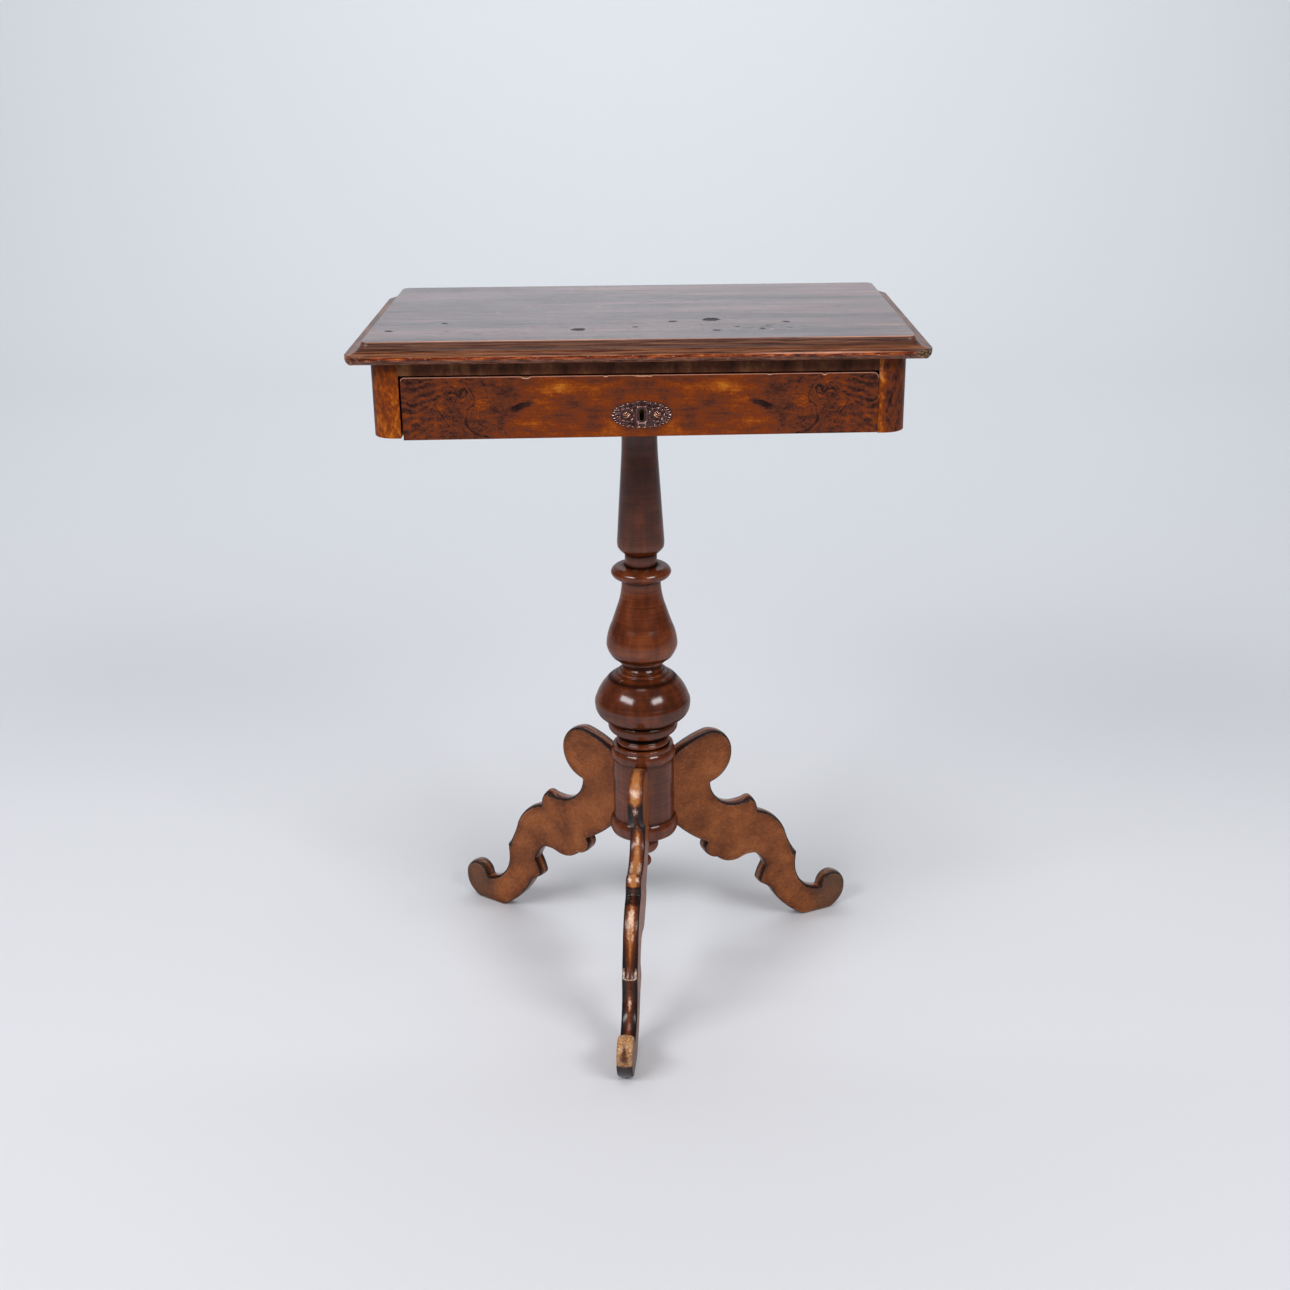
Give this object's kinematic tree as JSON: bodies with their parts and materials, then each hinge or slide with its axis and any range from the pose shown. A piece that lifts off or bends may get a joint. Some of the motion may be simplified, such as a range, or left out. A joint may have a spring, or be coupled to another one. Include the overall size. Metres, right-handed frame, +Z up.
{
  "type": "pillar table",
  "caption": "Small rectangular pedestal table: moulded top, one lockable drawer, turned column and scroll-cut tripod legs.",
  "frame": {"origin": "on the floor under the column's axis", "axes": "+Z up, -Y out of the drawer front, +X to the right of someone facing the drawer"},
  "size_m": [0.55, 0.4397, 0.75],
  "materials": {
    "top_wood": "dark brown mahogany, dulled polish",
    "dark_wood": "very dark polished wood",
    "case_wood": "red-brown polished wood",
    "burr_wood": "burr walnut, orange-brown, polished",
    "inner_wood": "bare softwood, oiled by age",
    "steel": "dull steel",
    "turned_wood": "dark red-brown turned wood, glossy shellac",
    "leg_wood": "mid-brown wood, satin, worn arrises",
    "plate_metal": "stamped brass, dark patina",
    "lock_brass": "brass, dull"
  },
  "bodies": {
    "stand": {"table_top": "top_wood", "front_rail": "dark_wood", "side_rail_left": "case_wood", "side_rail_right": "case_wood", "back_rail": "case_wood", "post_front_left": "burr_wood", "post_front_right": "burr_wood", "post_back_left": "case_wood", "post_back_right": "case_wood", "bottom_board": "inner_wood", "guide_left": "inner_wood", "guide_right": "inner_wood", "kicker_left": "inner_wood", "kicker_right": "inner_wood", "top_screws": "steel", "bearer": "inner_wood", "bearer_screws": "steel", "column": "turned_wood", "finial": "turned_wood", "leg_front": "leg_wood", "leg_left": "leg_wood", "leg_right": "leg_wood"},
    "drawer": {"drawer_front": "dark_wood", "veneer_left": "burr_wood", "veneer_right": "burr_wood", "drawer_side_left": "inner_wood", "drawer_side_right": "inner_wood", "drawer_back": "inner_wood", "drawer_floor": "inner_wood", "escutcheon": "plate_metal", "escutcheon_pins": "plate_metal", "lock_case": "lock_brass", "lock_screws": "steel"},
    "bolt": {"lock_bolt": "lock_brass"}
  },
  "joints": [
    {"name": "drawer_slide", "type": "slide", "parent": "stand", "child": "drawer", "axis": [0, -1, 0], "range_m": [0, 0.22]},
    {"name": "bolt_slide", "type": "slide", "parent": "drawer", "child": "bolt", "axis": [0, 0, 1], "range_m": [0, 0.006]}
  ]
}
